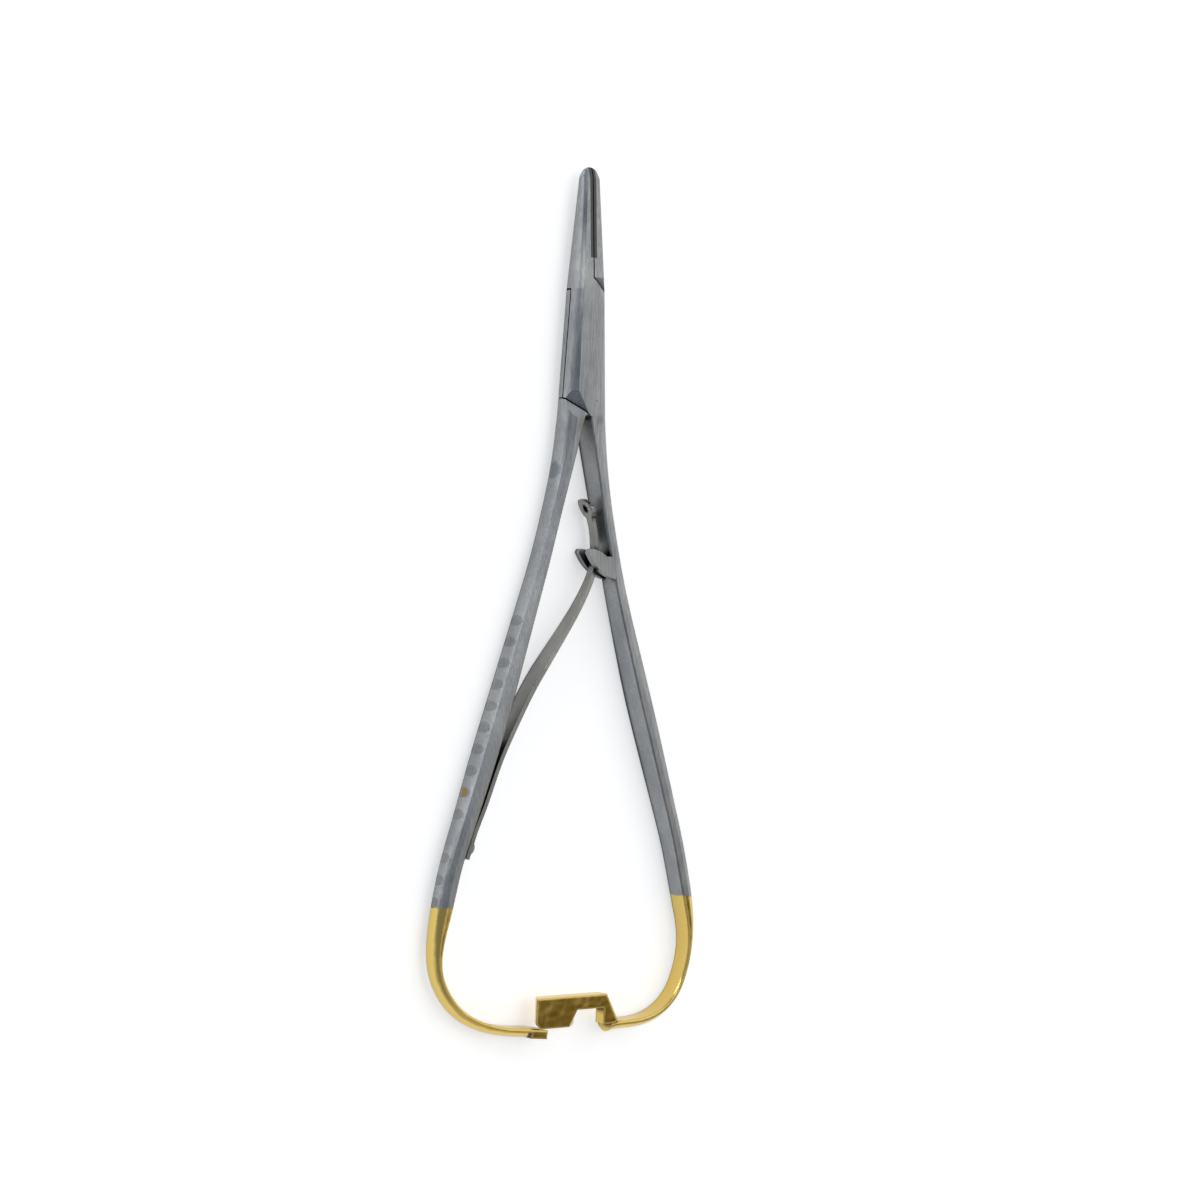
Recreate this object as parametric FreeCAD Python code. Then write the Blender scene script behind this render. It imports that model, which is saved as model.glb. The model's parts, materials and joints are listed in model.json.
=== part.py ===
import FreeCAD
import Part
import math
import os

# Needle holder with a box lock, a leaf spring between its handles and a hook catch, jaws closed.
# Lengths in millimetres, angles in degrees. X runs across the handles, Y toward the jaw tip and
# Z through the thickness. The origin lies on the pivot axis, on the plane the instrument rests on.

Vec = FreeCAD.Vector

# Jaws and box, as one tapered bar before it is divided between the two halves
tip_y = 41.4
box_top_y = 13.0
box_bottom_y = -16.0
box_depth = 6.8
tip_depth = 2.5
tip_half_width = 2.4
box_top_half_width = 4.55
box_bottom_half_width = 6.05
tip_crown = 0.6
box_top_crown = 1.3
box_bottom_crown = 1.5
tip_ridge = 1.3
box_top_ridge = 1.7
box_bottom_ridge = 2.9
tip_nose_radius = 2.35
tip_nose_turn = 62.0
crease_share = 0.81

# Gap between the closed jaws, and the hard inserts brazed into them
jaw_gap = 0.12
insert_thickness = 0.85
insert_start_y = 20.3

# Box lock
tenon_thickness = 2.0
tenon_setback = 0.5
slot_clearance = 0.13
tenon_radius = 13.5
slot_end_clearance = 0.35
shoulder_gap = 0.12
crotch_gap = 0.45
upper_shoulder_y = 15.6
lower_shoulder_x = -0.45
lower_shoulder_y = -15.2
upper_shoulder_slope = 0.75
lower_shoulder_slope = 0.58
pin_radius = 1.75
pin_floor = 1.2
pin_clearance = 0.05

# Facets beside the shoulders, each through three points given from the pivot and the mid plane
wall_facet = [(-0.6, -14.8, 3.4), (-2.65, -11.3, 3.4), (-5.4, -12.3, 1.5)]
shank_facet = [(-1.3, -14.5, 3.3), (-3.8, -16.7, 3.3), (-5.9, -12.4, 1.3)]
jaw_facet = [(0.35, 16.2, 3.4), (3.0, 16.2, 3.4), (3.7, 13.3, 2.0)]
facet_size = 14.0

# Path of each handle's outer face, from the box to the end of its arm: the heading it starts with,
# then its legs, each as a length and the heading it ends with, counted outward from straight down
start_heading = 4.4
left_path = [(39.1, 17.7), (62.4, 17.7), (23.0, 2.7), (23.6, -67.2), (11.2, -84.3), (6.5, -84.3)]
right_path = [(48.2, 18.9), (48.4, 18.9), (20.6, 11.0), (19.4, -20.2), (17.4, -85.6), (9.2, -85.6)]
arm_legs = 3

# Section of a handle at its root, waist, grip, wrist and arm: distance along the path, thickness
left_sections = [(0.0, 5.12), (26.5, 2.95), (78.0, 4.15), (112.0, 3.95), (132.0, 2.15)]
right_sections = [(0.0, 5.6), (34.0, 3.2), (68.0, 4.1), (112.0, 3.95), (132.0, 2.2)]
root_ease = 2.0

# Depth of the section there, the rise of its crown and the width of crown and bevel together
waist_depth = 5.7
waist_crown = 0.55
waist_ridge = 1.95
grip_crown = 0.75
grip_ridge = 2.45
wrist_depth = 5.7
wrist_crown = 1.2
wrist_ridge = 2.2
arm_depth = 5.2
arm_crown = 0.8
arm_ridge = 1.3
edge_break = 0.35

# Stock left on the front and back of box and handles, and ground off to one pair of planes
grinding_stock = 0.05

# Finger notches across the crowned outer faces
notch_first = 48.6
notch_pitch = 5.08
notch_count = 14
notch_radius = 1.7
notch_depth = 0.55
notch_over_rivet = 10

# Fork on the right handle that guides the spring: outline of its cheeks, from the tip round to the
# root, given from the point of the handle's outer face beside it
fork_at = 35.0
fork_slot = 2.5
fork_tip = (-10.15, 3.75)
fork_top = (-9.3, 4.05)
fork_arch = (-7.2, 3.6)
fork_throat = (-5.2, 2.45)
fork_root = (-2.4, -2.8)
fork_belly = (-7.0, -0.8)
fork_chin = (-10.1, 2.75)

# Leaf spring: seated on the left handle, then free. The points of its middle line between seat and
# fork are shares of the way across and to the side; those past the fork are given as for the fork
spring_thickness = 1.0
spring_tail_width = 5.3
spring_fork_width = 2.1
spring_head_width = 4.6
spring_hole_radius = 0.8
spring_gap = 0.13
spring_tail_at = 103.4
spring_lift_at = 97.5
spring_taper_length = 23.5
spring_middle = [
    (0.08, 0.007), (0.251, 0.028), (0.384, 0.032), (0.517, 0.03), (0.675, 0.013), (0.832, -0.006), (0.932, -0.009)
]
spring_elbow = [(-7.15, -0.15), (-6.9, 4.85), (-7.5, 9.05)]
spring_end = (-10.8, 15.55)

# Rivet that holds the spring to the left handle
rivet_at = 100.6
rivet_radius = 1.1
rivet_head_radius = 2.1
rivet_head_height = 1.7
rivet_clearance = 0.05

# Hook plate, given from the end of the right arm's outer face, and the tongue on the left arm
plate_thickness = 3.2
plate_left = -21.4
plate_end_slant = 1.9
plate_right = -1.6
plate_foot = 1.8
plate_top = 9.2
plate_bottom = 2.2
plate_corner = 1.2
notch_left = -9.8
notch_lean = 2.2
notch_ramp = 3.4
notch_right = -2.3
notch_top = 6.0
tongue_length = 4.4
tongue_thickness = 2.0

# Rivet end below the crown of the outer face, and spacing of the sections along handle and spring seat
rivet_flush = 0.3
handle_step = 9.0
arm_step = 6.5
spring_seats = 4

mid_z = box_depth / 2
far = 60.0
reach = 2 * box_bottom_half_width


def blend(a, b, share):
    """Value between a and b, easing out of one and into the other."""
    share = min(max(share, 0.0), 1.0)
    return a + (b - a) * share * share * (3 - 2 * share)


def prism(points, z_low, z_high):
    """Straight-sided block over a closed outline in the XY plane."""
    corners = [Vec(x, y, z_low) for x, y in points]
    face = Part.Face(Part.makePolygon(corners + corners[:1]))
    return face.extrude(Vec(0, 0, z_high - z_low))


def full_prism(points):
    """Block over an outline, through the whole thickness and past it."""
    return prism(points, -far, far)


def section_wire(place, inner, depth, crown, ridge):
    """Closed section of one handle, outer face crowned, front and back bevelled, inner face flat.

    place(d, z) gives the point that lies d inside the outer face and z off the mid plane.
    """
    crease = crease_share * depth / 2
    half = depth / 2
    front = [(crown, crease), (ridge, half), (inner - edge_break, half), (inner, half - edge_break)]
    back = [(d, -z) for d, z in reversed(front)]
    points = [place(d, z) for d, z in front + back]
    edges = [Part.makeLine(a, b) for a, b in zip(points, points[1:])]
    edges.append(Part.Arc(points[-1], place(0, 0), points[0]).toShape())
    return Part.Wire(edges)


def bar_wire(y, half_width, depth, crown, ridge):
    """Closed section of the bar that the jaws and the box are cut from."""
    crease = crease_share * depth / 2
    side = [(half_width - crown, crease), (half_width - ridge, depth / 2)]
    right = [Vec(x, y, mid_z + z) for x, z in side]
    left = [Vec(-x, y, mid_z + z) for x, z in reversed(side)]
    low_left = [Vec(-x, y, mid_z - z) for x, z in side]
    low_right = [Vec(x, y, mid_z - z) for x, z in reversed(side)]
    edges = [Part.makeLine(right[0], right[1])]
    edges.append(Part.makeLine(right[1], left[0]))
    edges.append(Part.makeLine(left[0], left[1]))
    edges.append(Part.Arc(left[1], Vec(-half_width, y, mid_z), low_left[0]).toShape())
    edges.append(Part.makeLine(low_left[0], low_left[1]))
    edges.append(Part.makeLine(low_left[1], low_right[0]))
    edges.append(Part.makeLine(low_right[0], low_right[1]))
    edges.append(Part.Arc(low_right[1], Vec(half_width, y, mid_z), right[0]).toShape())
    return Part.Wire(edges)


def ground(shape):
    """Shape with its front and back ground down to the two flat planes of the instrument."""
    return shape.common(Part.makeBox(4 * far, 8 * far, box_depth, Vec(-2 * far, -4 * far, 0)))


def nose_envelope():
    """Rounded nose, round in plan and flattened to the depth of the tip, flaring out behind it."""
    wide = tip_nose_radius
    turn = math.radians(tip_nose_turn)
    nose = Vec(0, tip_y, 0)
    touch = Vec(wide * math.sin(turn), tip_y - wide + wide * math.cos(turn), 0)
    flare_x = tip_nose_radius + tip_ridge
    flare = Vec(flare_x, touch.y - (flare_x - touch.x) * math.tan(turn), 0)
    middle = Vec(wide * math.sin(turn / 2), tip_y - wide + wide * math.cos(turn / 2), 0)
    edges = [
        Part.Arc(nose, middle, touch).toShape(),
        Part.makeLine(touch, flare),
        Part.makeLine(flare, Vec(0, flare.y, 0)),
        Part.makeLine(Vec(0, flare.y, 0), nose),
    ]
    body = Part.Face(Part.Wire(edges)).revolve(Vec(0, 0, 0), Vec(0, 1, 0), 360)
    flatten = FreeCAD.Matrix()
    flatten.scale(Vec(1, 1, tip_depth / (2 * tip_half_width)))
    body = body.transformGeometry(flatten)
    body.translate(Vec(0, 0, mid_z))
    return body.fuse(Part.makeBox(2 * far, far, 2 * far, Vec(-far, flare.y - far, -far)))


def make_bar():
    """Tapered bar of the closed jaws and the box, in one piece."""
    stock_depth = box_depth + 2 * grinding_stock
    bottom = bar_wire(box_bottom_y, box_bottom_half_width, stock_depth, box_bottom_crown, box_bottom_ridge)
    top = bar_wire(box_top_y, box_top_half_width, stock_depth, box_top_crown, box_top_ridge)
    tip = bar_wire(tip_y, tip_half_width, tip_depth, tip_crown, tip_ridge)
    box = Part.makeLoft([bottom, top], True, True)
    jaws = Part.makeLoft([top, tip], True, True)
    return ground(box.fuse(jaws).common(nose_envelope()))


def upper_shoulder(x):
    """Height of the shoulder above the box at x."""
    return upper_shoulder_y - upper_shoulder_slope * x


def lower_shoulder(x):
    """Height of the shoulder below the box at x."""
    return lower_shoulder_y - lower_shoulder_slope * (x - lower_shoulder_x)


def lock_layer(radius, thickness, centre_gap):
    """Middle layer of the box: a disc about the pivot, open to the upper right and the lower left."""
    low = mid_z - tenon_setback - thickness / 2
    disc = Part.makeCylinder(radius, thickness, Vec(0, 0, low))
    height = upper_shoulder_y + 1
    upper = Part.makeBox(reach, height, thickness, Vec(centre_gap, 0, low))
    depth = -box_bottom_y
    lower = Part.makeBox(reach, depth, thickness, Vec(lower_shoulder_x - reach - centre_gap, box_bottom_y, low))
    return disc.fuse([upper, lower])


def facet_cutters(points):
    """Cutters that bevel one corner beside the lock, on the front and on the back."""
    a, b, c = [Vec(x, y, mid_z + z) for x, y, z in points]
    normal = (b - a).cross(c - a)
    if normal.z < 0:
        normal = normal * -1
    half = facet_size / 2
    block = Part.makeBox(facet_size, facet_size, half, Vec(-half, -half, 0))
    block.Placement = FreeCAD.Placement((a + b + c) / 3, FreeCAD.Rotation(Vec(0, 0, 1), normal))
    low_x = 0 if a.x > 0 else -far
    block = block.common(Part.makeBox(far, 2 * far, 2 * far, Vec(low_x, -far, -far)))
    return [block, block.mirror(Vec(0, 0, mid_z), Vec(0, 0, 1))]


def half_turn(shapes):
    """Copies of shapes, turned half way round the pivot."""
    copies = [shape.copy() for shape in shapes]
    for shape in copies:
        shape.rotate(Vec(0, 0, 0), Vec(0, 0, 1), 180)
    return copies


def path_legs(path):
    """Legs of an outer face's path, each as length, first heading and last heading."""
    firsts = [start_heading] + [heading for length, heading in path[:-1]]
    return [(length, first, last) for (length, last), first in zip(path, firsts)]


def path_length(legs):
    return sum(length for length, first, last in legs)


def along_path(legs, distance):
    """Point of the right handle's outer face at a distance along it, with its outward direction."""
    x = box_bottom_half_width
    y = box_bottom_y
    heading = legs[0][1]
    for length, first, last in legs:
        step = min(distance, length)
        heading = first + (last - first) * step / length
        start, end = math.radians(first), math.radians(heading)
        if first == last:
            x += step * math.sin(start)
            y -= step * math.cos(start)
        else:
            radius = length / math.radians(last - first)
            x += radius * (math.cos(start) - math.cos(end))
            y -= radius * (math.sin(end) - math.sin(start))
        distance -= step
        if distance <= 0:
            break
    turn = math.radians(heading)
    return Vec(x, y, mid_z), Vec(math.cos(turn), math.sin(turn), 0)


def section_sizes(distance, sections):
    """Thickness, depth, crown and ridge of a handle at a distance along it."""
    stock_depth = box_depth + 2 * grinding_stock
    shapes = [
        (stock_depth, box_bottom_crown, box_bottom_ridge),
        (waist_depth, waist_crown, waist_ridge),
        (stock_depth, grip_crown, grip_ridge),
        (wrist_depth, wrist_crown, wrist_ridge),
        (arm_depth, arm_crown, arm_ridge),
    ]
    for i in range(len(sections) - 1):
        low, high = sections[i][0], sections[i + 1][0]
        if distance <= high:
            share = (distance - low) / (high - low)
            thickness = blend(sections[i][1], sections[i + 1][1], share)
            if i == 0:
                waist = sections[1][1]
                thickness = waist + (sections[0][1] - waist) * (1 - share) ** root_ease
            return [thickness] + [blend(a, b, share) for a, b in zip(shapes[i], shapes[i + 1])]
    return [sections[-1][1]] + list(shapes[-1])


def make_handle(legs, sections):
    """Right-hand handle with its arm, lofted along its path from the foot of the box."""
    total = path_length(legs)
    arm_start = path_length(legs[:-arm_legs])
    coarse = math.ceil(arm_start / handle_step)
    fine = math.ceil((total - arm_start) / arm_step)
    stops = [arm_start * i / coarse for i in range(coarse)]
    stops += [arm_start + (total - arm_start) * i / fine for i in range(fine + 1)]
    wires = []
    for stop in stops:
        point, outward = along_path(legs, stop)
        if stop == 0:
            outward = Vec(1, 0, 0)
        thickness, depth, crown, ridge = section_sizes(stop, sections)
        place = lambda d, z, p=point, n=outward: p - n * d + Vec(0, 0, z)
        wires.append(section_wire(place, thickness, depth, crown, ridge))
    return ground(Part.makeLoft(wires, True, False))


def finger_notches(legs, skipped):
    """Cutters of the row of shallow notches across the outer face."""
    cutters = []
    for i in range(notch_count):
        if i == skipped:
            continue
        point, outward = along_path(legs, notch_first + i * notch_pitch)
        centre = point + outward * (notch_radius - notch_depth)
        cutters.append(Part.makeCylinder(notch_radius, 2 * box_depth, centre - Vec(0, 0, box_depth)))
    return cutters


def make_fork(legs):
    """Two cheeks that stand in from the right handle, with the slot between them."""
    beside = along_path(legs, fork_at)[0]
    low = Vec(beside.x, beside.y, mid_z - waist_depth / 2)
    outline = (fork_tip, fork_top, fork_arch, fork_throat, fork_root, fork_belly, fork_chin)
    tip, top, arch, throat, root, belly, chin = [low + Vec(x, y, 0) for x, y in outline]
    heel = Vec(root.x, throat.y, low.z)
    edges = [
        Part.Arc(chin, tip, top).toShape(),
        Part.Arc(top, arch, throat).toShape(),
        Part.makeLine(throat, heel),
        Part.makeLine(heel, root),
        Part.Arc(root, belly, chin).toShape(),
    ]
    block = Part.Face(Part.Wire(edges)).extrude(Vec(0, 0, waist_depth))
    slot = Part.makeBox(far, far, fork_slot, Vec(-far / 2, root.y - far / 2, mid_z - fork_slot / 2))
    return block.cut(slot)


def plate_wire(base, left, ramp):
    """Outline of the hook plate about a base point, with its left end and the ramp of its notch moved in."""
    points = [
        (left, plate_top),
        (plate_right, plate_top),
        (plate_foot, plate_bottom + plate_corner / 2),
        (plate_foot - plate_corner, plate_bottom),
        (notch_right, plate_bottom),
        (notch_right, notch_top),
        (max(notch_left, ramp), notch_top),
        (ramp, plate_bottom),
        (left + plate_corner, plate_bottom),
        (left, plate_bottom + plate_corner),
    ]
    corners = [base + Vec(x, y, 0) for x, y in points]
    return Part.makePolygon(corners + corners[:1])


def make_hook_plate(legs):
    """Plate at the end of the right arm, with the notch that the tongue snaps into."""
    end = along_path(legs, path_length(legs))[0]
    front = end + Vec(0, 0, arm_depth / 2)
    back = front - Vec(0, 0, plate_thickness)
    ramp = notch_left - notch_lean
    back_wire = plate_wire(back, plate_left + plate_end_slant, ramp + notch_ramp)
    return Part.makeLoft([back_wire, plate_wire(front, plate_left, ramp)], True, True)


def make_tongue(legs):
    """Flat tongue at the end of an arm, drawn as for the right hand."""
    end, outward = along_path(legs, path_length(legs))
    onward = Vec(outward.y, -outward.x, 0)
    corners = [end - onward * tongue_length / 2, end + onward * tongue_length / 2]
    corners += [corner - outward * tongue_thickness for corner in reversed(corners)]
    low = mid_z - arm_depth / 2
    return prism([(corner.x, corner.y) for corner in corners], low, low + arm_depth)


def insert_space(side):
    """Space of the hard insert in the jaw on that side."""
    low_x = jaw_gap / 2 if side > 0 else -insert_thickness
    width = insert_thickness - jaw_gap / 2
    return Part.makeBox(width, far, box_depth, Vec(low_x, insert_start_y, 0))


def make_pin(radius):
    return Part.makeCylinder(radius, box_depth - pin_floor, Vec(0, 0, pin_floor))


def make_female_half(bar):
    """Left jaw, box walls, right handle, spring fork and hook plate, forged as one."""
    half_gap = jaw_gap / 2
    outline = [
        (-half_gap, far),
        (-reach, far),
        (-reach, lower_shoulder(-reach)),
        (lower_shoulder_x, lower_shoulder_y),
        (box_bottom_half_width - right_sections[0][1], box_bottom_y),
        (reach, box_bottom_y),
        (reach, upper_shoulder(reach)),
        (-half_gap, upper_shoulder(-half_gap)),
    ]
    slot = lock_layer(tenon_radius + slot_end_clearance, tenon_thickness + 2 * slot_clearance, -half_gap)
    legs = path_legs(right_path)
    handle = make_handle(legs, right_sections)
    walls = facet_cutters(wall_facet)
    body = bar.common(full_prism(outline)).cut(slot)
    body = body.cut(walls + half_turn(walls))
    body = body.cut([insert_space(-1), make_pin(pin_radius)])
    handle = handle.cut(finger_notches(legs, None))
    return body.fuse([handle, make_fork(legs), make_hook_plate(legs)]).removeSplitter()


def make_male_half(bar, rivet_hole):
    """Right jaw, tenon through the box and left handle with its tongue, forged as one."""
    half_gap = jaw_gap / 2
    upper = [
        (half_gap, far),
        (half_gap, upper_shoulder(half_gap) + shoulder_gap),
        (reach, upper_shoulder(reach) + shoulder_gap),
        (reach, far),
    ]
    corner_x = lower_shoulder_x - half_gap
    lower = [
        (-reach, lower_shoulder(-reach) - shoulder_gap),
        (-reach, box_bottom_y),
        (left_sections[0][1] - box_bottom_half_width, box_bottom_y),
        (corner_x, lower_shoulder(corner_x) - crotch_gap),
    ]
    tenon = lock_layer(tenon_radius, tenon_thickness, half_gap).common(bar)
    tenon = tenon.cut(make_pin(pin_radius + pin_clearance))
    legs = path_legs(left_path)
    handle = make_handle(legs, left_sections)
    handle = handle.cut(finger_notches(legs, notch_over_rivet))
    handle = handle.fuse(make_tongue(legs)).mirror(Vec(0, 0, 0), Vec(1, 0, 0))
    handle = handle.fuse(bar.common(full_prism(lower)))
    jaw = bar.common(full_prism(upper)).cut(facet_cutters(jaw_facet) + [insert_space(1)])
    handle = handle.cut(facet_cutters(shank_facet) + [rivet_hole])
    return tenon.fuse([jaw, handle]).removeSplitter()


def make_insert(bar, side):
    """Hard insert along the inner face of one jaw, flush with the jaw all round."""
    return bar.common(insert_space(side))


def left_point(legs, distance, inside):
    """Point of the left handle, a given depth inside its outer face, and its outward direction."""
    point, outward = along_path(legs, distance)
    point = point - outward * inside
    return Vec(-point.x, point.y, mid_z), Vec(-outward.x, outward.y, 0)


def make_rivet(legs):
    """Spring rivet, domed inside the handle and flush with its outer face, with its plain shank."""
    inner = section_sizes(rivet_at, left_sections)[0]
    under_head = inner + spring_gap + spring_thickness + spring_gap
    seat, outward = left_point(legs, rivet_at, under_head)
    shank = Part.makeCylinder(rivet_radius, under_head - rivet_flush, seat, outward)
    height, wide = rivet_head_height, rivet_head_radius
    ball_radius = (height * height + wide * wide) / (2 * height)
    centre = seat + outward * (ball_radius - height)
    rim_angle = math.degrees(math.asin((ball_radius - height) / ball_radius))
    head = Part.makeSphere(ball_radius, centre, outward * -1, rim_angle, 90)
    return shank.fuse(head).removeSplitter()


def offset_curve(points, base, offset):
    """Smooth curve beside a base curve, through the points moved sideways by the offset."""
    moved = []
    for point in points:
        tangent = base.tangent(base.parameter(point))[0]
        moved.append(point + Vec(-tangent.y, tangent.x, 0) * offset)
    curve = Part.BSplineCurve()
    curve.interpolate(moved)
    return curve.toShape(), moved


def make_leaf_spring(legs):
    """Bent leaf spring: seated on the left handle, through the fork, ending in a round head."""
    seated = []
    for i in range(spring_seats):
        distance = spring_tail_at + (spring_lift_at - spring_tail_at) * i / (spring_seats - 1)
        inner = section_sizes(distance, left_sections)[0]
        seated.append(left_point(legs, distance, inner + spring_gap + spring_thickness / 2)[0])
    beside = along_path(path_legs(right_path), fork_at)[0]
    beyond = [beside + Vec(x, y, 0) for x, y in spring_elbow + [spring_end]]
    across = beyond[0] - seated[-1]
    aside = Vec(-across.y, across.x, 0)
    points = seated + [seated[-1] + across * a + aside * b for a, b in spring_middle] + beyond
    base = Part.BSplineCurve()
    base.interpolate(points)
    one, first = offset_curve(points, base, spring_thickness / 2)
    two, second = offset_curve(points, base, -spring_thickness / 2)
    ends = [Part.makeLine(first[0], second[0]), Part.makeLine(first[-1], second[-1])]
    face = Part.Face(Part.Wire(Part.__sortEdges__([one, two] + ends)))
    strip = face.extrude(Vec(0, 0, box_depth))
    strip.translate(Vec(0, 0, -box_depth / 2))
    tail_y = seated[0].y - spring_thickness
    neck_y = beyond[0].y
    head_y = beyond[-1].y - spring_head_width / 2
    wide, narrow = spring_tail_width / 2, spring_fork_width / 2
    outline = [(tail_y, wide), (neck_y - spring_taper_length, wide), (neck_y, narrow), (head_y, narrow)]
    outline += [(y, -z) for y, z in reversed(outline)]
    corners = [Vec(-far, y, mid_z + z) for y, z in outline]
    side = Part.Face(Part.makePolygon(corners + corners[:1])).extrude(Vec(2 * far, 0, 0))
    head = Part.makeCylinder(spring_head_width / 2, 2 * far, Vec(-far, head_y, mid_z), Vec(1, 0, 0))
    hole = Part.makeCylinder(spring_hole_radius, 2 * far, Vec(-far, head_y, mid_z), Vec(1, 0, 0))
    seat, outward = left_point(legs, rivet_at, 0)
    rivet_hole = Part.makeCylinder(rivet_radius + rivet_clearance, reach, seat, outward * -1)
    return strip.common(side.fuse(head)).cut([hole, rivet_hole]).removeSplitter()


def main():
    os.makedirs("parts", exist_ok=True)
    bar = make_bar()
    legs = path_legs(left_path)
    rivet = make_rivet(legs)
    parts = {
        "female_half": make_female_half(bar),
        "male_half": make_male_half(bar, rivet),
        "left_jaw_insert": make_insert(bar, -1),
        "right_jaw_insert": make_insert(bar, 1),
        "box_pin": make_pin(pin_radius),
        "leaf_spring": make_leaf_spring(legs),
        "spring_rivet": rivet,
    }
    for name, shape in parts.items():
        box = shape.BoundBox
        print(name, len(shape.Solids), "solid", round(shape.Volume, 1), "mm3", shape.isValid(), box)
        shape.exportStep("parts/" + name + ".step")


main()
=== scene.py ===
# %% [markdown]
# # A surgical needle holder
# The instrument is 20 cm of forged stainless steel: two halves crossed in a box lock, a leaf spring
# between the handles, and gold plated ends with a hook catch. Its solids come from the CAD model and
# are loaded first. They stay where they are, because everything else is placed by them.

# %% Load the solids
import json
import math

import bpy
from mathutils import Matrix, Vector

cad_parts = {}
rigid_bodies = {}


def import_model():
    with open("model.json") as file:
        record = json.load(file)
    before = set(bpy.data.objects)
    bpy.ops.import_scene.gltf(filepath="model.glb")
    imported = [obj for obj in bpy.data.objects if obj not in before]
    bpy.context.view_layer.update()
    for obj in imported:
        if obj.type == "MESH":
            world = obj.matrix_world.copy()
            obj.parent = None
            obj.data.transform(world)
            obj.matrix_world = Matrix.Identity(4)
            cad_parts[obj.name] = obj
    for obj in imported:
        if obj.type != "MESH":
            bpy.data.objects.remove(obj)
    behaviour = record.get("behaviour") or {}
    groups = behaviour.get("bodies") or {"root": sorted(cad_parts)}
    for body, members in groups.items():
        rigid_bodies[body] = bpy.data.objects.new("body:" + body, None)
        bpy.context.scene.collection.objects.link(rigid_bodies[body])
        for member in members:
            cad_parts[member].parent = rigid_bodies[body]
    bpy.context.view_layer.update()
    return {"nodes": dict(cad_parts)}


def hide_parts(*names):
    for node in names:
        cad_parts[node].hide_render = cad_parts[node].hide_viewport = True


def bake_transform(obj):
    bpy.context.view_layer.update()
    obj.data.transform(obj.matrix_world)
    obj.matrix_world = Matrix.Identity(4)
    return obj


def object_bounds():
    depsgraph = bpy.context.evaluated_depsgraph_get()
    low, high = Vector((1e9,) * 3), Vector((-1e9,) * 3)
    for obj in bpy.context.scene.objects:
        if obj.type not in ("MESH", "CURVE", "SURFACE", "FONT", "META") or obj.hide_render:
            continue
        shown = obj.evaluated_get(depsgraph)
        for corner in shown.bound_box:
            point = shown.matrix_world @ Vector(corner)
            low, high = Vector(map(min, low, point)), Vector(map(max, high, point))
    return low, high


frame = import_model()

MM = 0.001
scene = bpy.context.scene
print("solids:", ", ".join(frame["nodes"]))


# %% [markdown]
# ## Small helpers
# A colour is written as the sRGB hex value that an eye or a paint chart would give, and one function
# turns it into the linear numbers that shaders need. Another adds a node, sets its sockets and links
# its inputs, so that a material reads as a short list of steps.

# %% Colour and node helpers
def colour(code):
    """Linear RGBA of an sRGB hex value such as 8C8F90."""
    parts = [int(code[i:i + 2], 16) / 255 for i in (0, 2, 4)]
    return [p / 12.92 if p <= 0.04045 else ((p + 0.055) / 1.055) ** 2.4 for p in parts] + [1.0]


def add(tree, kind, links=None, values=None, **settings):
    """Adds a node, with settings for itself, values for its sockets and links from other sockets."""
    node = tree.nodes.new(kind)
    for name, value in settings.items():
        setattr(node, name, value)
    for key, value in (values or {}).items():
        node.inputs[key].default_value = value
    for key, source in (links or {}).items():
        tree.links.new(source, node.inputs[key])
    return node


def empty_material(name):
    """New material with nothing in its node tree."""
    mat = bpy.data.materials.new(name)
    mat.use_nodes = True
    mat.node_tree.nodes.clear()
    return mat, mat.node_tree


print("helpers ready")


# %% [markdown]
# ## Satin steel
# Surgical steel is ground, then blasted or brushed to a satin face that does not dazzle. It is a
# metal, so all its colour is in the reflection: a mid grey, a little bluish, with a roughness that
# blurs the room into soft bands. Fine grinding lines run along the handles, and faint clouds are left
# by blasting. Both are noises, squeezed to the size of the real thing. The real lines are finer than
# a pixel, so they are drawn as coarse as they need to be to show.

# %% Satin steel
GRAIN_WIDTH = 0.14 * MM         # across one grinding line
GRAIN_LENGTH = 5.0 * MM         # along a line, down the handles
CLOUD_SIZE = 6.0 * MM           # across a cloud
CLOUD_SQUEEZE = 0.6             # below 1 the clouds are longer down the handles than across
CLOUD_VALUES = (0.30, 0.70)     # most of a noise lies between these, which become 0 and 1
LINE_VALUES = (0.32, 0.68)
LINE_SHADE = 0.7                # how much of the lines' shade is laid over the grey
STEEL_ROUGHNESS = 0.38


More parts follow.
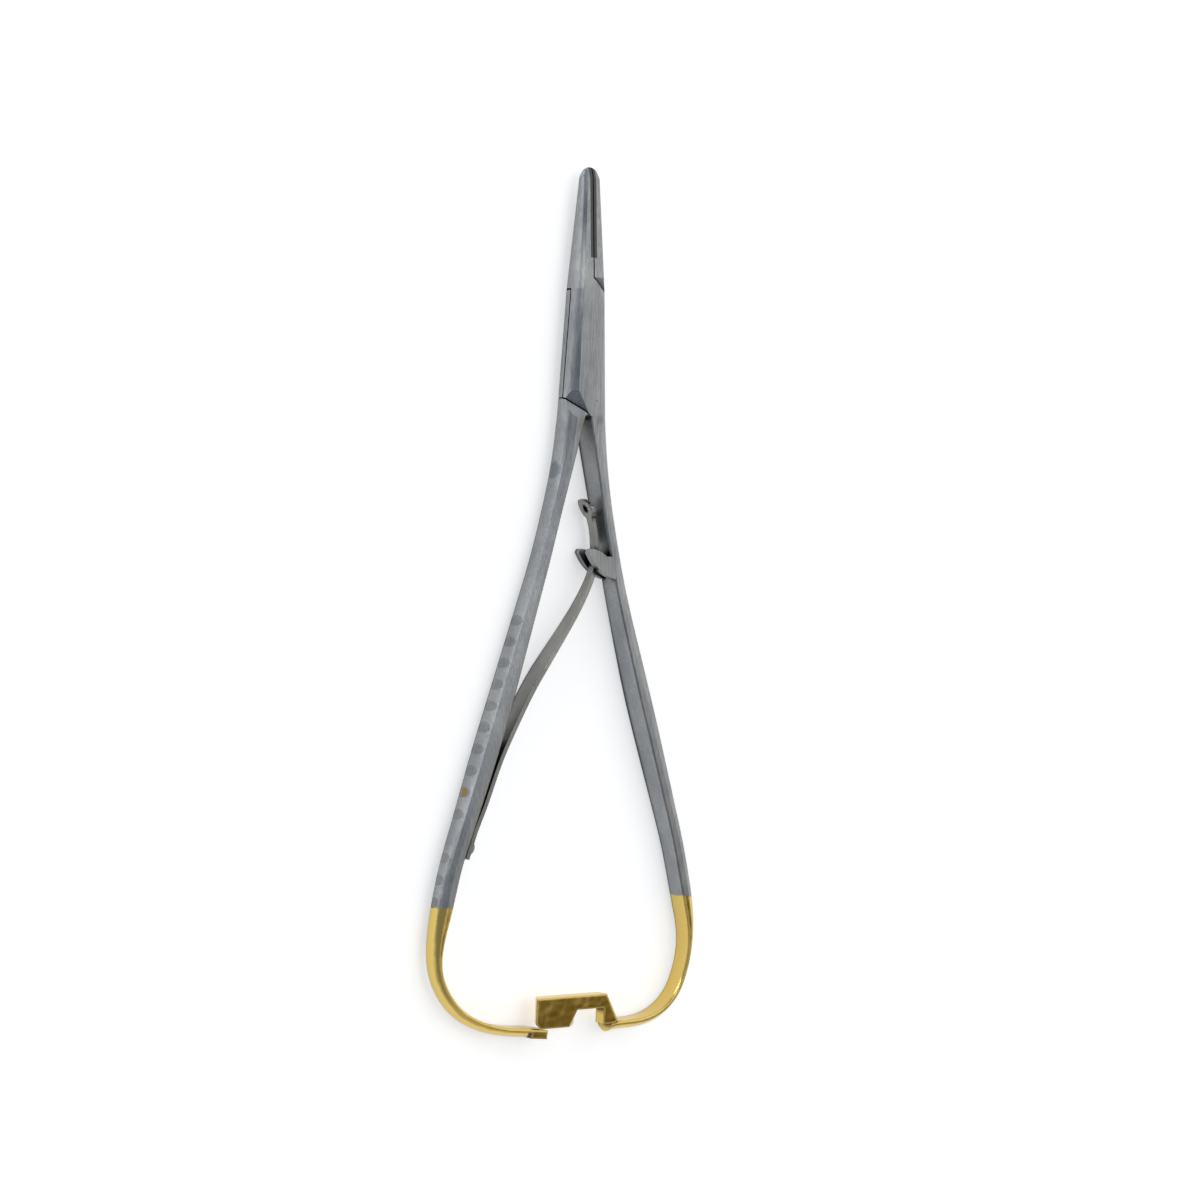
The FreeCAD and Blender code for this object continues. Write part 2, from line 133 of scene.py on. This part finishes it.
def satin_steel(tree, place):
    """Colour of the satin steel, and the height of its grinding lines, as two sockets."""
    cloud_place = add(tree, "ShaderNodeMapping", {"Vector": place},
                      {"Scale": (1 / CLOUD_SIZE, CLOUD_SQUEEZE / CLOUD_SIZE, 1 / CLOUD_SIZE)})
    clouds = add(tree, "ShaderNodeTexNoise", {"Vector": cloud_place.outputs["Vector"]},
                 {"Scale": 1.0, "Detail": 4.0, "Roughness": 0.6})
    cloud_share = add(tree, "ShaderNodeMapRange", {"Value": clouds.outputs["Fac"]},
                      {"From Min": CLOUD_VALUES[0], "From Max": CLOUD_VALUES[1]})
    grey = add(tree, "ShaderNodeMix", {"Factor": cloud_share.outputs["Result"]},
               {"A": colour("999CA0"), "B": colour("B5B7B7")}, data_type="RGBA")
    line_place = add(tree, "ShaderNodeMapping", {"Vector": place},
                     {"Scale": (1 / GRAIN_WIDTH, 1 / GRAIN_LENGTH, 1 / GRAIN_WIDTH)})
    lines = add(tree, "ShaderNodeTexNoise", {"Vector": line_place.outputs["Vector"]},
                {"Scale": 1.0, "Detail": 2.0, "Roughness": 0.6})
    line_share = add(tree, "ShaderNodeMapRange", {"Value": lines.outputs["Fac"]},
                     {"From Min": LINE_VALUES[0], "From Max": LINE_VALUES[1]})
    shadow = add(tree, "ShaderNodeMix", {"Factor": line_share.outputs["Result"]},
                 {"A": colour("BABABA"), "B": colour("FFFFFF")}, data_type="RGBA")
    steel = add(tree, "ShaderNodeMix", {"A": grey.outputs["Result"], "B": shadow.outputs["Result"]},
                {"Factor": LINE_SHADE}, data_type="RGBA", blend_type="MULTIPLY")
    return steel.outputs["Result"], lines.outputs["Fac"]


print("grinding lines", GRAIN_WIDTH / MM, "mm wide, clouds", CLOUD_SIZE / MM, "mm")


# %% [markdown]
# ## Painted shade in narrow places
# In the finger notches, in the slot of the lock and under the spring the metal sees more of itself
# than of the room, so these places lie in shade. Light alone leaves them too pale in an all white
# room, so the material measures how much a point is closed in by near metal, with ambient
# occlusion, and paints shade over it by that much.

# %% Painted shade in narrow places
NARROW_PLACE = 1.8 * MM         # metal closer than this counts as near
OPEN_VALUE = 0.985              # the node gives 1 in the open, and from this up the colour stays
CLOSED_VALUE = 0.74             # from this down the film is thickest
COLOUR_LEFT = 0.10              # share of the metal's own colour that is left there
NEAR_RAYS = 8


def paint_shade_in_narrow_places(tree, base):
    """The colour with painted shade in the notches, the slots and the spring's nest."""
    open_sky = add(tree, "ShaderNodeAmbientOcclusion", {}, {"Distance": NARROW_PLACE}, samples=NEAR_RAYS)
    share = add(tree, "ShaderNodeMapRange", {"Value": open_sky.outputs["AO"]},
                {"From Min": CLOSED_VALUE, "From Max": OPEN_VALUE, "To Min": COLOUR_LEFT, "To Max": 1.0})
    # painted shade: a dark grey laid over each point by how closed in it is
    painted_shade = add(tree, "ShaderNodeMix", {"Factor": share.outputs["Result"], "B": base},
               {"A": colour("303031")}, data_type="RGBA")
    return painted_shade.outputs["Result"]


print("narrow places: metal within", round(NARROW_PLACE / MM, 2), "mm")


# %% [markdown]
# ## Joint lines of the lock
# Where the two halves meet, a hair-wide gap stays, and the shade in it reads as a thin black line.
# The solids have that gap, but it is finer than a pixel, so its shade is painted in the material as
# well. Each line is a plane that is cut off at both ends: a point is on it when its distance along one
# direction is right and its place along another is between the ends. A plane is simple, but it has a
# price: faces that lie in it are painted dark all over, such as the closing faces of the jaws, and that
# shows when the jaws are open.

# %% Where the joint lines run
LINE_HALF_WIDTH = 0.15 * MM
JOINT_LINES = (
    # title, direction across, its distance, direction along, middle, half length; distances in mm
    ("closing line", (1, 0, 0), 0.0, (0, 1, 0), 28.5, 13.0),
    ("upper shoulder", (0.6, 0.8, 0), 12.53, (1, 0, 0), 3.1, 3.2),
    ("lower shoulder", (0.502, 0.865, 0), -13.45, (1, 0, 0), -3.7, 3.3),
    ("front of the tongue", (0, 0, 1), 3.96, (0, 1, 0), 0.4, 12.4),
    ("back of the tongue", (0, 0, 1), 1.84, (0, 1, 0), 0.4, 12.4),
)


def joint_line_shade(tree, place):
    """Share of painted shade that is 1 on a joint line and 0 beside it."""
    total = None
    for title, across, distance, along, middle, half_length in JOINT_LINES:
        side = add(tree, "ShaderNodeVectorMath", {0: place}, {1: across},
                   label=title, operation="DOT_PRODUCT")
        on_plane = add(tree, "ShaderNodeMath", {0: side.outputs["Value"]},
                       {1: distance * MM, 2: LINE_HALF_WIDTH}, operation="COMPARE")
        run = add(tree, "ShaderNodeVectorMath", {0: place}, {1: along}, operation="DOT_PRODUCT")
        within = add(tree, "ShaderNodeMath", {0: run.outputs["Value"]},
                     {1: middle * MM, 2: half_length * MM}, operation="COMPARE")
        line = add(tree, "ShaderNodeMath", {0: on_plane.outputs[0], 1: within.outputs[0]},
                   operation="MULTIPLY").outputs[0]
        if total is None:
            total = line
        else:
            total = add(tree, "ShaderNodeMath", {0: total, 1: line}, operation="MAXIMUM").outputs[0]
    return total


print(len(JOINT_LINES), "joint lines")


# %% [markdown]
# ## Marks on the steel
# A used instrument keeps marks: a spot of old gold lacquer in one finger notch, a bluish heat mark on
# a shank, brownish water stains beside the lock and two dark specks. Each is a ball about a place on
# the surface, and a noise makes its rim uneven.

# %% Where the marks are
RIM_BAYS = 0.8 * MM             # size of the bays in a rim
MARKS = (
    # title, place in mm, radius in mm, width of the rim in mm, colour, strength
    ("lacquer in a notch", (-28.3, -102.2, 3.4), 1.15, 0.4, "B08A3A", 0.85),
    ("heat mark", (-7.2, -28.8, 3.6), 2.0, 0.7, "5A6268", 0.55),
    ("water stain", (-1.4, -18.2, 6.8), 1.7, 1.6, "77705F", 0.50),
    ("water stain", (3.0, -16.6, 6.8), 1.1, 1.0, "6E6A60", 0.50),
    ("speck", (1.9, -12.4, 6.8), 0.16, 0.1, "3A3A38", 0.80),
    ("speck", (8.2, -44.1, 6.5), 0.14, 0.1, "4A3020", 0.80),
)


def marked(tree, place, base):
    """The colour with every mark laid over it."""
    rim_noise = add(tree, "ShaderNodeTexNoise", {"Vector": place}, {"Scale": 1 / RIM_BAYS, "Detail": 3.0})
    for title, centre, radius, rim, code, strength in MARKS:
        way = add(tree, "ShaderNodeVectorMath", {0: place}, {1: Vector(centre) * MM},
                  label=title, operation="DISTANCE")
        uneven = add(tree, "ShaderNodeMath", {0: rim_noise.outputs["Fac"], 2: way.outputs["Value"]},
                     {1: rim * MM}, operation="MULTIPLY_ADD")
        share = add(tree, "ShaderNodeMapRange", {"Value": uneven.outputs[0]},
                    {"From Min": radius * MM, "From Max": (radius + rim) * MM,
                     "To Min": strength, "To Max": 0.0})
        base = add(tree, "ShaderNodeMix", {"Factor": share.outputs["Result"], "A": base},
                   {"B": colour(code)}, data_type="RGBA").outputs["Result"]
    return base


print(len(MARKS), "marks")


# %% [markdown]
# ## Steel of the two halves
# The two forgings and the pin between them are ground together once the lock is closed, so they share
# one material. All solids have the same origin, and so a pattern on Object coordinates runs on from
# one to the next. The marks and then the painted shade of the joint lines are laid over the steel's
# colour.

# %% Steel of the two halves
halves_finish, halves_tree = empty_material("satin_steel_gold_plated_ends")
halves_place = add(halves_tree, "ShaderNodeTexCoord").outputs["Object"]
steel_colour, steel_lines = satin_steel(halves_tree, halves_place)
steel_marked = marked(halves_tree, halves_place, steel_colour)
# painted shade: the joint lines of the lock are painted near black over the steel
gap_shaded = add(halves_tree, "ShaderNodeMix",
            {"Factor": joint_line_shade(halves_tree, halves_place), "A": steel_marked},
            {"B": colour("141414")}, data_type="RGBA")
print("steel of the halves:", len(halves_tree.nodes), "nodes")


# %% [markdown]
# ## Gold plated ends
# The ends of the handles are gold plated over polished steel. The plating is a skin and not a piece,
# so it is a change of colour and roughness along Y on the same solid, with a slightly ragged edge
# where the stopping-off lacquer ended. Polished plating mirrors far more sharply than satin steel.

# %% Gold plated ends
PLATING_EDGE = -127.6 * MM      # where the gold plating starts, along Y
PLATING_RAGGED = 0.5 * MM       # how far its edge wanders
EDGE_BAYS = 1.2 * MM            # size of the bays in that edge
PLATED_ROUGHNESS = 0.15
height = add(halves_tree, "ShaderNodeSeparateXYZ", {"Vector": halves_place}).outputs["Y"]
wander = add(halves_tree, "ShaderNodeTexNoise", {"Vector": halves_place},
             {"Scale": 1 / EDGE_BAYS, "Detail": 2.0})
shift = add(halves_tree, "ShaderNodeMath", {0: wander.outputs["Fac"], 2: height},
            {1: PLATING_RAGGED * 2}, operation="MULTIPLY_ADD")
plated = add(halves_tree, "ShaderNodeMath", {0: shift.outputs[0]},
             {1: PLATING_EDGE + PLATING_RAGGED}, operation="LESS_THAN")
both = add(halves_tree, "ShaderNodeMix", {"Factor": plated.outputs[0], "A": gap_shaded.outputs["Result"]},
           {"B": colour("E6C872")}, data_type="RGBA")
rough = add(halves_tree, "ShaderNodeMapRange", {"Value": plated.outputs[0]},
            {"To Min": STEEL_ROUGHNESS, "To Max": PLATED_ROUGHNESS})
print("plated below", round(PLATING_EDGE / MM, 1), "mm")


# %% [markdown]
# ## Edges, waves and lines
# A hand-ground edge is never sharp, so the shading of the edges is rounded a little, and that round
# catches the light as a thin bright line. The ends are buffed on a soft wheel, which rounds their
# edges more and leaves long shallow waves in their faces. The grinding lines come last, as a very low
# relief that all but ends where the buffing starts.

# %% Edges, waves and lines of the two halves
GROUND_EDGE = 0.14 * MM         # round of an edge on the ground steel
BUFFED_EDGE = 0.70 * MM         # round of an edge on the polished ends
WAVE_LENGTH = 3.5 * MM          # from one buffed wave to the next
WAVE_DEPTH = 0.16 * MM          # deeper than a real wave, so that it shows
LINE_DEPTH = 0.02 * MM          # height of a grinding line
GROUND_LINES = 0.20             # how much of that height shows on ground steel
BUFFED_LINES = 0.02             # and on the polished ends
EDGE_RAYS = 6
edge_round = add(halves_tree, "ShaderNodeMapRange", {"Value": plated.outputs[0]},
                 {"To Min": GROUND_EDGE, "To Max": BUFFED_EDGE})
edges = add(halves_tree, "ShaderNodeBevel", {"Radius": edge_round.outputs["Result"]}, samples=EDGE_RAYS)
line_strength = add(halves_tree, "ShaderNodeMapRange", {"Value": plated.outputs[0]},
                    {"To Min": GROUND_LINES, "To Max": BUFFED_LINES})
waves = add(halves_tree, "ShaderNodeTexNoise", {"Vector": halves_place},
            {"Scale": 1 / WAVE_LENGTH, "Detail": 1.0})
buffed = add(halves_tree, "ShaderNodeBump",
             {"Height": waves.outputs["Fac"], "Normal": edges.outputs["Normal"],
              "Strength": plated.outputs[0]}, {"Distance": WAVE_DEPTH})
bump = add(halves_tree, "ShaderNodeBump",
           {"Height": steel_lines, "Normal": buffed.outputs["Normal"],
            "Strength": line_strength.outputs["Result"]}, {"Distance": LINE_DEPTH})
# painted shade in the notches and in the slot of the lock
halves_colour = paint_shade_in_narrow_places(halves_tree, both.outputs["Result"])
halves_shader = add(halves_tree, "ShaderNodeBsdfPrincipled",
                    {"Base Color": halves_colour, "Roughness": rough.outputs["Result"],
                     "Normal": bump.outputs["Normal"]}, {"Metallic": 1.0})
add(halves_tree, "ShaderNodeOutputMaterial", {"Surface": halves_shader.outputs["BSDF"]})
print("material of the halves:", len(halves_tree.nodes), "nodes")


# %% [markdown]
# ## Leaf spring
# The spring and its rivet have the same satin face as the halves, a shade warmer, because spring
# steel is tempered after it is ground. They are a little smoother, and they have no joint lines.

# %% Steel of the spring
SPRING_ROUGHNESS = 0.34
spring_finish, spring_tree = empty_material("satin_spring_steel")
spring_place = add(spring_tree, "ShaderNodeTexCoord").outputs["Object"]
spring_colour, spring_lines = satin_steel(spring_tree, spring_place)
warm = add(spring_tree, "ShaderNodeMix", {"A": spring_colour}, {"B": colour("F6F2E8"), "Factor": 1.0},
           data_type="RGBA", blend_type="MULTIPLY")
spring_edges = add(spring_tree, "ShaderNodeBevel", {}, {"Radius": GROUND_EDGE}, samples=EDGE_RAYS)
spring_bump = add(spring_tree, "ShaderNodeBump",
                  {"Height": spring_lines, "Normal": spring_edges.outputs["Normal"]},
                  {"Strength": GROUND_LINES, "Distance": LINE_DEPTH})
# painted shade where the spring lies close to the handles
spring_dark = paint_shade_in_narrow_places(spring_tree, warm.outputs["Result"])
spring_shader = add(spring_tree, "ShaderNodeBsdfPrincipled",
                    {"Base Color": spring_dark, "Normal": spring_bump.outputs["Normal"]},
                    {"Metallic": 1.0, "Roughness": SPRING_ROUGHNESS})
add(spring_tree, "ShaderNodeOutputMaterial", {"Surface": spring_shader.outputs["BSDF"]})
print("material of the spring:", len(spring_tree.nodes), "nodes")


# %% [markdown]
# ## Hard inserts
# The strips between the jaws are sintered carbide, which is darker than steel and ground dull, so
# that they show as two fine grey bands beside the black closing line. A fine noise between two greys
# gives them the grain of pressed powder.

# %% Carbide of the inserts
CARBIDE_GRAIN = 0.15 * MM       # coarser than the real grain, so that it shows
CARBIDE_VALUES = (0.3, 0.7)
CARBIDE_ROUGHNESS = 0.42
carbide_finish, carbide_tree = empty_material("ground_carbide")
carbide_place = add(carbide_tree, "ShaderNodeTexCoord").outputs["Object"]
speckle = add(carbide_tree, "ShaderNodeTexNoise", {"Vector": carbide_place},
              {"Scale": 1 / CARBIDE_GRAIN, "Detail": 2.0})
speckle_share = add(carbide_tree, "ShaderNodeMapRange", {"Value": speckle.outputs["Fac"]},
                    {"From Min": CARBIDE_VALUES[0], "From Max": CARBIDE_VALUES[1]})
carbide_grey = add(carbide_tree, "ShaderNodeMix", {"Factor": speckle_share.outputs["Result"]},
                   {"A": colour("4C4C4C"), "B": colour("5E5E5D")}, data_type="RGBA")
# painted shade: the closing line is painted near black over the carbide
carbide_gap_shaded = add(carbide_tree, "ShaderNodeMix",
                    {"Factor": joint_line_shade(carbide_tree, carbide_place),
                     "A": carbide_grey.outputs["Result"]}, {"B": colour("101010")}, data_type="RGBA")
carbide_shader = add(carbide_tree, "ShaderNodeBsdfPrincipled",
                     {"Base Color": carbide_gap_shaded.outputs["Result"]},
                     {"Metallic": 1.0, "Roughness": CARBIDE_ROUGHNESS})
add(carbide_tree, "ShaderNodeOutputMaterial", {"Surface": carbide_shader.outputs["BSDF"]})
print("material of the inserts:", len(carbide_tree.nodes), "nodes")


# %% [markdown]
# ## Each finish on its solids
# The solids already have material slots from the CAD model. A finish goes into the slots of each
# solid that has it, and the meshes are left alone. The pin is ground flush with the box and has its
# finish, and the rivet has that of the spring.

# %% Put each finish on its solids
FINISHES = {
    "female_half": halves_finish,
    "male_half": halves_finish,
    "box_pin": halves_finish,
    "left_jaw_insert": carbide_finish,
    "right_jaw_insert": carbide_finish,
    "leaf_spring": spring_finish,
    "spring_rivet": spring_finish,
}
for node_name, finish in FINISHES.items():
    for slot in frame["nodes"][node_name].material_slots:
        slot.material = finish
print("finishes on", len(FINISHES), "solids")


# %% [markdown]
# ## Where the leaf spring bends
# The real spring is one strip that is riveted to the left handle and slides in the fork of the right
# one. It bends when the handles open, and never swings as a stiff bar. The CAD solid has the right
# shape, so a copy of it is taken instead of a new strip, with its place in its mesh. Its bend lies
# between a point just above the rivet and one further up, and these two points are found here.

# %% Copy the spring and find where it bends
BEND_RISE = 24.0 * MM           # length over which the strip bends
ALONG_STRIP = Vector((0.30, 0.954, 0))
ABOVE_RIVET = Vector((0.5, 2.2, 0)) * MM
bpy.ops.object.select_all(action="DESELECT")
solid_spring = frame["nodes"]["leaf_spring"]
rivet = frame["nodes"]["spring_rivet"]
solid_spring.select_set(True)
bpy.context.view_layer.objects.active = solid_spring
bpy.ops.object.duplicate()
spring = bpy.context.object
spring.name = "bending_leaf_spring"
bpy.ops.object.parent_clear(type="CLEAR_KEEP_TRANSFORM")
bpy.ops.object.transform_apply(location=True, rotation=True, scale=True)
corners = [rivet.matrix_world @ Vector(c) for c in rivet.bound_box]
bend_start = sum(corners, Vector()) / len(corners) + ABOVE_RIVET
bend_end = bend_start + ALONG_STRIP * BEND_RISE
for title, point in (("starts", bend_start), ("ends", bend_end)):
    print("the bend", title, "at", [round(c / MM, 1) for c in point], "mm")


# %% [markdown]
# ## Places to bend at
# A long flat face can't bend, because it has corners at its ends only. The loose triangles of the
# copy are joined first, and then the strip is cut across into short lengths, which changes nothing in
# its shape at rest. The cut copy takes the place of the solid.

# %% Cut the spring across
CUT_STEP = 1.5 * MM
SAME_CORNER = 0.001 * MM        # corners closer than this are one corner
SMOOTH_BELOW = math.radians(25)
bpy.ops.object.mode_set(mode="EDIT")
bpy.ops.mesh.select_all(action="SELECT")
bpy.ops.mesh.remove_doubles(threshold=SAME_CORNER)
for step in range(int(BEND_RISE / CUT_STEP) + 1):
    cut_place = bend_start.lerp(bend_end, step * CUT_STEP / BEND_RISE)
    bpy.ops.mesh.select_all(action="SELECT")
    bpy.ops.mesh.bisect(plane_co=cut_place, plane_no=ALONG_STRIP)
bpy.ops.object.mode_set(mode="OBJECT")
bpy.ops.object.shade_smooth_by_angle(angle=SMOOTH_BELOW)
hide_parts("leaf_spring")
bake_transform(spring)
print("spring:", len(spring.data.polygons), "faces")


# %% [markdown]
# ## Floor
# The photograph shows the instrument on plain white. A wide white floor carries its shadow. It also
# glows for the camera's own rays, so that it reads as white without more light on the object, and for
# the mirrored rays a little less, so that the metal shows a pale floor too.

# %% Floor
FLOOR_SIZE = 6.0
FLOOR_GLOW = 0.50
FLOOR_IN_METAL = 0.7            # share of the floor's glow that the metal mirrors
low_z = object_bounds()[0][2]
bpy.ops.object.select_all(action="DESELECT")
bpy.ops.mesh.primitive_plane_add(size=FLOOR_SIZE, location=(0, 0, low_z))
floor = bpy.context.object
floor.name = "studio_floor"
white, floor_tree = empty_material("white_floor")
rays = add(floor_tree, "ShaderNodeLightPath")
shown = add(floor_tree, "ShaderNodeMath",
            {0: rays.outputs["Is Glossy Ray"], 2: rays.outputs["Is Camera Ray"]},
            {1: FLOOR_IN_METAL}, operation="MULTIPLY_ADD")
matt = add(floor_tree, "ShaderNodeBsdfDiffuse", {}, {"Color": colour("F4F4F4")})
glow = add(floor_tree, "ShaderNodeEmission", {}, {"Color": colour("FFFFFF"), "Strength": FLOOR_GLOW})
lit = add(floor_tree, "ShaderNodeAddShader", {0: matt.outputs[0], 1: glow.outputs[0]})
seen = add(floor_tree, "ShaderNodeMixShader",
           {0: shown.outputs[0], 1: matt.outputs[0], 2: lit.outputs[0]})
add(floor_tree, "ShaderNodeOutputMaterial", {"Surface": seen.outputs[0]})
floor.data.materials.append(white)
print("floor at", round(low_z / MM, 2), "mm")


# %% [markdown]
# ## World
# Metal looks like what is around it, and in an evenly white room it would look flat. Three parts of
# this white world are dimmer, as in a real room: a soft pale grey beyond the ends of the handles, a
# tall grey part on the camera's side, and a small dark brown one beyond the right side, which the
# polished face of the gold plate mirrors. Satin steel takes only a soft shade from them. Dark screens
# beside the object would do the same, but they would stand in the way of other views. Each part lies
# about a fixed direction, so it stays where it is when the view changes.

# %% Dimmer parts of the world
DARK_SIDE = Vector((0.60, -0.27, 0.76)).normalized()
CAMERA_SIDE = Vector((-0.59, 0.05, 0.81)).normalized()
TALL = (1.0, 0.35, 1.0)         # squeezes directions along Y, so that the part there is tall
LOW_FADE = (0.25, -0.80)        # Y of a direction where the grey begins and where it is full
CAMERA_FADE = (0.62, 0.93)      # the same by how close a direction is to the camera's side
SIDE_FADE = (0.950, 0.998)      # and to the dark side
world = bpy.data.worlds.new("studio")
scene.world = world
world.use_nodes = True
sky = world.node_tree
sky.nodes.clear()
sky_rays = add(sky, "ShaderNodeLightPath")
toward = add(sky, "ShaderNodeTexCoord").outputs["Generated"]
sky_height = add(sky, "ShaderNodeSeparateXYZ", {"Vector": toward})
low_share = add(sky, "ShaderNodeMapRange", {"Value": sky_height.outputs["Y"]},
                {"From Min": LOW_FADE[0], "From Max": LOW_FADE[1]}, interpolation_type="SMOOTHSTEP")
low_dark = add(sky, "ShaderNodeMix", {"Factor": low_share.outputs["Result"]},
               {"A": colour("FFFFFF"), "B": colour("BEBEBE")}, data_type="RGBA")
tall = add(sky, "ShaderNodeMapping", {"Vector": toward}, {"Scale": TALL})
squeezed = add(sky, "ShaderNodeVectorMath", {0: tall.outputs["Vector"]}, operation="NORMALIZE")
near_camera = add(sky, "ShaderNodeVectorMath", {0: squeezed.outputs[0]}, {1: CAMERA_SIDE},
                  operation="DOT_PRODUCT")
camera_share = add(sky, "ShaderNodeMapRange", {"Value": near_camera.outputs["Value"]},
                   {"From Min": CAMERA_FADE[0], "From Max": CAMERA_FADE[1]},
                   interpolation_type="SMOOTHSTEP")
camera_dark = add(sky, "ShaderNodeMix",
                  {"Factor": camera_share.outputs["Result"], "A": low_dark.outputs["Result"]},
                  {"B": colour("858D97")}, data_type="RGBA")
near_side = add(sky, "ShaderNodeVectorMath", {0: toward}, {1: DARK_SIDE}, operation="DOT_PRODUCT")
side_share = add(sky, "ShaderNodeMapRange", {"Value": near_side.outputs["Value"]},
                 {"From Min": SIDE_FADE[0], "From Max": SIDE_FADE[1]}, interpolation_type="SMOOTHSTEP")
side_dark = add(sky, "ShaderNodeMix",
                {"Factor": side_share.outputs["Result"], "A": camera_dark.outputs["Result"]},
                {"B": colour("5C4E26")}, data_type="RGBA")
print("three dimmer parts in the world")


# %% [markdown]
# ## What the camera sees of the world
# The object is lit by the world with its dimmer parts, and the camera sees plain white around it, at
# a strength of 1, which is white and no brighter.

# %% World for the object and for the camera
studio = add(sky, "ShaderNodeBackground", {"Color": side_dark.outputs["Result"]}, {"Strength": 1.0})
plain = add(sky, "ShaderNodeBackground", {}, {"Color": colour("FFFFFF"), "Strength": 1.0})
choice = add(sky, "ShaderNodeMixShader",
             {0: sky_rays.outputs["Is Camera Ray"], 1: studio.outputs[0], 2: plain.outputs[0]})
add(sky, "ShaderNodeOutputWorld", {"Surface": choice.outputs[0]})
print("world:", len(sky.nodes), "nodes")


# %% [markdown]
# ## Lamps
# Two soft lamps give the metal a direction of light. A wide one stands low beyond the upper left and
# brightens the faces that look that way. A smaller and weaker one above adds a little light on the
# front faces and a faint shadow on the floor. Soft lamps are large for their distance, so that satin
# steel shows no hard spots.

# %% Lamps
LAMPS = (
    # name, place in m, side in m, power in W
    ("lamp_left", (-1.4, 1.1, 0.5), 0.8, 8.0),
    ("lamp_above", (0.05, 0.35, 1.5), 0.45, 1.2),
)
MIDDLE = Vector((0, -0.05, 0))  # about the middle of the instrument
for lamp_name, lamp_place, lamp_side, lamp_power in LAMPS:
    lamp_data = bpy.data.lights.new(lamp_name, "AREA")
    lamp_data.shape = "SQUARE"
    lamp_data.size = lamp_side
    lamp_data.energy = lamp_power
    lamp = bpy.data.objects.new(lamp_name, lamp_data)
    scene.collection.objects.link(lamp)
    lamp.location = lamp_place
    lamp.rotation_euler = (MIDDLE - Vector(lamp_place)).to_track_quat("-Z", "Y").to_euler()
print(len(LAMPS), "lamps")


# %% [markdown]
# ## Camera
# The photograph looks down on the front face from the left, so that the left side of the box shows
# too, and the picture is rolled by two degrees. The camera's three axes are worked out from those two
# angles. The eye then stands back from the lock, moved along the picture's own axes so that the
# instrument sits in the frame as in the photograph.

# %% Camera
TURN = math.radians(36.0)       # how far the camera stands to the left of straight above
ROLL = math.radians(2.02)
DISTANCE = 0.580                # from the lock to the eye, in m
EYE_RIGHT = 3.775               # how far the eye is moved right, in mm
EYE_DOWN = 58.24                # and down, in mm
SENSOR = 36.0
LENS = 75.587
LOCK = Vector((0, 0, 3.4 * MM))  # the middle of the lock
across = Vector((math.cos(TURN), 0, math.sin(TURN)))
back = Vector((-math.sin(TURN), 0, math.cos(TURN)))
up = Vector((0, 1, 0))
right_axis = across * math.cos(ROLL) + up * math.sin(ROLL)
up_axis = up * math.cos(ROLL) - across * math.sin(ROLL)
eye = LOCK + right_axis * EYE_RIGHT * MM - up_axis * EYE_DOWN * MM + back * DISTANCE
camera_data = bpy.data.cameras.new("camera")
camera_data.sensor_width = SENSOR
camera_data.lens = LENS
camera_data.dof.use_dof = False
camera = bpy.data.objects.new("camera", camera_data)
scene.collection.objects.link(camera)
turn = Matrix((right_axis, up_axis, back)).transposed().to_4x4()
camera.matrix_world = Matrix.Translation(eye) @ turn
scene.camera = camera
scene.view_settings.view_transform = "Standard"
print("camera at", [round(c, 4) for c in eye])
